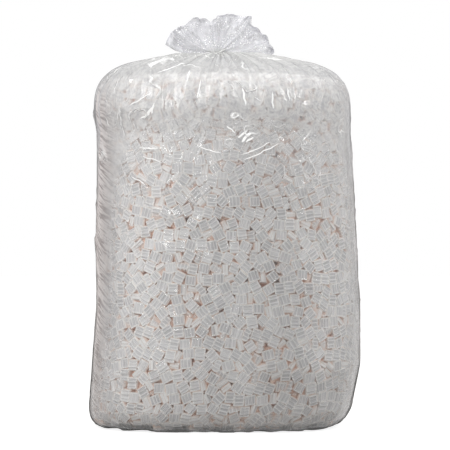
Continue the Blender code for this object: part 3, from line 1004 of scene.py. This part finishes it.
def level_peanuts(fine, plain, chance, material):
    """The peanuts under the dome and on the foot, each packed in a level layer."""
    size = (2 * HALF_WIDTH, 2 * HALF_DEPTH, LAYER_DEPTH)
    count = int(size[0] * size[1] * size[2] * PACKED_PER_M3)
    places, turns = pack_layer(size, count, SEED + 2, wrap=False)
    x, y = places[:, 0] - HALF_WIDTH, places[:, 1] - HALF_DEPTH
    outer = places[:, 2] < OUTER_DEPTH
    under = ~outer & (places[:, 2] < DEEPEST)
    for shape, kept, reach, name in (
        (fine, outer, TOP_REACH, "peanuts_top"),
        (plain, under, UNDER_REACH, "peanuts_under_top"),
    ):
        kept = kept & (outline_share(x, y, SHOULDER_SLIM) < reach)
        moved = spread_pieces(shape, places[kept], turns[kept], chance)
        height = heap_top(x[kept], y[kept])[:, None]
        depth = moved[..., 2]
        spread = moved[..., 0] - HALF_WIDTH + SHOULDER_LEAN, moved[..., 1] - HALF_DEPTH
        foam_piece(name, shape, np.stack([*spread, height - depth], -1), depth * TOP_SHADE, material)

    places, turns = pack_layer(size, count, SEED + 3, wrap=False)
    x, y = places[:, 0] - HALF_WIDTH, places[:, 1] - HALF_DEPTH
    kept = (outline_share(x, y, FOOT_CORNER_IN) < 1.0) & (places[:, 2] < OUTER_DEPTH)
    moved = spread_pieces(plain, places[kept], turns[kept], chance)
    depth = moved[..., 2]
    spread = moved[..., 0] - HALF_WIDTH + LEANS[0], moved[..., 1] - HALF_DEPTH
    at = np.stack([*spread, depth + FILM_ROOM + 0.002], -1)
    foam_piece("peanuts_foot", plain, at, depth, material)


def core_piece(heap, material):
    """The unseen peanuts further in, as one rough surface under the outer layer."""
    shares, ways = np.arange(180) / 180, np.linspace(heap.way[3], heap.end - 0.01, 110)
    share, way = np.meshgrid(shares, ways)
    deep = DEEPEST - 0.006 + 0.012 * grid_noise(share, way, 90, 0.024, 21)
    points = heap.at(share, way) - heap.normal(share, way) * deep[..., None]
    # A depth of 0.04 gives the whole surface the painted warm shade of the deep gaps
    values = {"depth": np.full(share.shape, 0.04), "tone": grid_noise(share, way, 90, 0.024, 22)}
    made = mesh_piece("peanuts_core", points, ring_faces(*share.shape), material, values)
    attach(made, "root")
    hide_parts("packed_peanuts")
    return made


def fit_turn(base, target_points):
    """The turn and the middle of a peanut's shape that best covers a CAD peanut's points."""
    middle = target_points.mean(0)
    _, _, own = np.linalg.svd(base - base.mean(0), full_matrices=False)
    _, _, other = np.linalg.svd(target_points - middle, full_matrices=False)
    best = None
    for a in (-1, 1):
        for b in (-1, 1):
            turn = other.T @ np.diag([a, b, 1]) @ own
            if np.linalg.det(turn) < 0:
                turn = other.T @ np.diag([a, b, -1]) @ own
            placed = (base - base.mean(0)) @ turn.T + middle
            gaps = np.linalg.norm(target_points[:, None] - placed[None], axis=-1).min(1).mean()
            if best is None or gaps < best[0]:
                best = (gaps, turn, middle)
    return best[1:]


def loose_peanuts(material):
    """The loose peanuts on the heap, each where its CAD solid lies."""
    names = [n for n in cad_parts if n.startswith("loose_peanut")]
    fine = peanut_shape(FINE_STEPS)
    places, turns = [], []
    for name in names:
        points = np.array([v.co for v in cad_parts[name].data.vertices])
        turn, middle = fit_turn(fine[0], points)
        turns.append(turn)
        places.append(middle)
    chance = np.random.default_rng(SEED + 4)
    moved = spread_pieces(fine, np.array(places), np.array(turns), chance)
    made = foam_piece("loose_peanuts", fine, moved, np.zeros(moved.shape[:2]), material)
    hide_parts(*names)
    return made


# ---- floor, light, camera

# The lamps: name, place, the point that each faces, size, watts
SOFTBOXES = [
    ("key softbox", (-1.5, -2.2, 2.05), (0, 0, 0.75), (1.3, 1.0), 27),
    ("top softbox", (0.7, -1.0, 3.1), (0, 0, 0.8), (1.8, 1.4), 18),
    ("left strip", (-1.6, -4.0, 1.7), (0, 0, 0.8), (0.5, 0.9), 16),
    ("right softbox", (2.6, -2.4, 2.2), (0, 0, 0.9), (1.0, 0.8), 28),
]
FILL_STRENGTH = 0.54
FLOOR_GLOW = 0.87
FLOOR_SIZE = 40


def seen_straight(f):
    """1 for rays from the camera, straight, through film or off a gloss, and 0 for light on the bag."""
    path = f.node("ShaderNodeLightPath")
    kinds = ("Camera", "Transmission", "Glossy")
    camera, through, gloss = (Number(f, path.outputs[f"Is {kind} Ray"]) for kind in kinds)
    return camera.most(through).most(gloss)


def build_studio():
    """A white floor that keeps the bag's shadow, a white surround, and soft lamps."""
    scene = bpy.context.scene
    scene.view_settings.view_transform = "Standard"
    scene.cycles.transparent_max_bounces = 24
    scene.cycles.diffuse_bounces = 8

    f = Finish("floor")
    matt = f.node("ShaderNodeBsdfDiffuse", {}, {"Color": (0.40, 0.39, 0.38, 1)})
    glow = f.node("ShaderNodeEmission", {}, {"Color": (1, 1, 1, 1), "Strength": FLOOR_GLOW})
    lit = f.node("ShaderNodeAddShader", {}, {0: matt, 1: glow})
    floor_look = f.finish(f.node("ShaderNodeMixShader", {}, {0: seen_straight(f), 1: matt, 2: lit}))
    bpy.ops.mesh.primitive_plane_add(size=FLOOR_SIZE)
    floor = bpy.context.object
    floor.name = "floor"
    floor.location.z = -0.0005
    floor.data.materials.append(floor_look)

    world = bpy.data.worlds.new("studio")
    scene.world = world
    f = Finish("studio", world)
    white = f.node("ShaderNodeBackground", {}, {"Color": (1, 1, 1, 1), "Strength": 1.0})
    fill = {"Color": (1.0, 0.995, 0.99, 1), "Strength": FILL_STRENGTH}
    fill = f.node("ShaderNodeBackground", {}, fill)
    surround = f.node("ShaderNodeMixShader", {}, {0: seen_straight(f), 1: fill, 2: white})
    f.finish(surround, "ShaderNodeOutputWorld")

    for name, place, aim, size, watts in SOFTBOXES:
        light = bpy.data.lights.new(name, "AREA")
        light.shape = "RECTANGLE"
        light.size, light.size_y = size
        light.energy = watts
        lamp = bpy.data.objects.new(name, light)
        scene.collection.objects.link(lamp)
        lamp.location = place
        lamp.rotation_euler = (Vector(aim) - Vector(place)).to_track_quat("-Z", "Y").to_euler()


CAMERA_FAR = 7.0
CAMERA_HEIGHT = 0.556
PIXELS_PER_METRE = 360.7
PICTURE_WIDTH = 450
SENSOR_WIDTH = 36.0


def build_camera():
    """A level camera straight in front of the bag."""
    camera = bpy.data.cameras.new("camera")
    camera.sensor_width = SENSOR_WIDTH
    camera.lens = SENSOR_WIDTH * PIXELS_PER_METRE * CAMERA_FAR / PICTURE_WIDTH
    made = bpy.data.objects.new("camera", camera)
    bpy.context.scene.collection.objects.link(made)
    made.location = (0, -CAMERA_FAR, CAMERA_HEIGHT)
    made.rotation_euler = (math.pi / 2, 0, 0)
    bpy.context.scene.camera = made


def film_rest(field, size, low):
    """How the film rests on the peanuts, as a function of shares of the way round and ways up."""
    wide = field
    for axis in (0, 1):
        wide = np.minimum(wide, np.minimum(np.roll(wide, 1, axis), np.roll(wide, -1, axis)))
    soft = wide
    for axis in (0, 1, 0, 1):
        soft = (soft + np.roll(soft, 1, axis) + np.roll(soft, -1, axis)) / 3
    high = low + size[1]

    def drape(share, way):
        """How far the film sinks between the peanuts, and the furthest that it can."""
        on = smooth_step(way, low, low + 0.03) * (1 - smooth_step(way, high - 0.12, high - 0.06))
        sunk, most = (sampled(layer, share, (way - low) / FIELD_CELL) for layer in (soft, wide))
        furthest = np.where(on > 0, most + FILM_ROOM - 0.0012, OPEN_DEPTH)
        return np.clip(sunk, -0.003, 0.009) * 0.75 * on, furthest

    return drape


def main():
    foam, film_look, tie_look = foam_finish(), film_finish(), tie_finish()
    skin = Profile(DOME_RISE)
    heap = Profile(HEAP_RISE, FILM_ROOM, HEAP_SQUARENESS)
    chance = np.random.default_rng(SEED + 1)
    fine, plain = peanut_shape(FINE_STEPS), peanut_shape(PLAIN_STEPS)
    field, size, low = upright_peanuts(heap, fine, plain, chance, foam)
    level_peanuts(fine, plain, chance, foam)
    core_piece(heap, foam)
    loose_peanuts(foam)
    build_film(skin, film_rest(field, size, low), film_look)
    tie = bpy.data.objects["neck_tie"]
    tie.data.materials.clear()
    tie.data.materials.append(tie_look)
    build_studio()
    build_camera()


main()
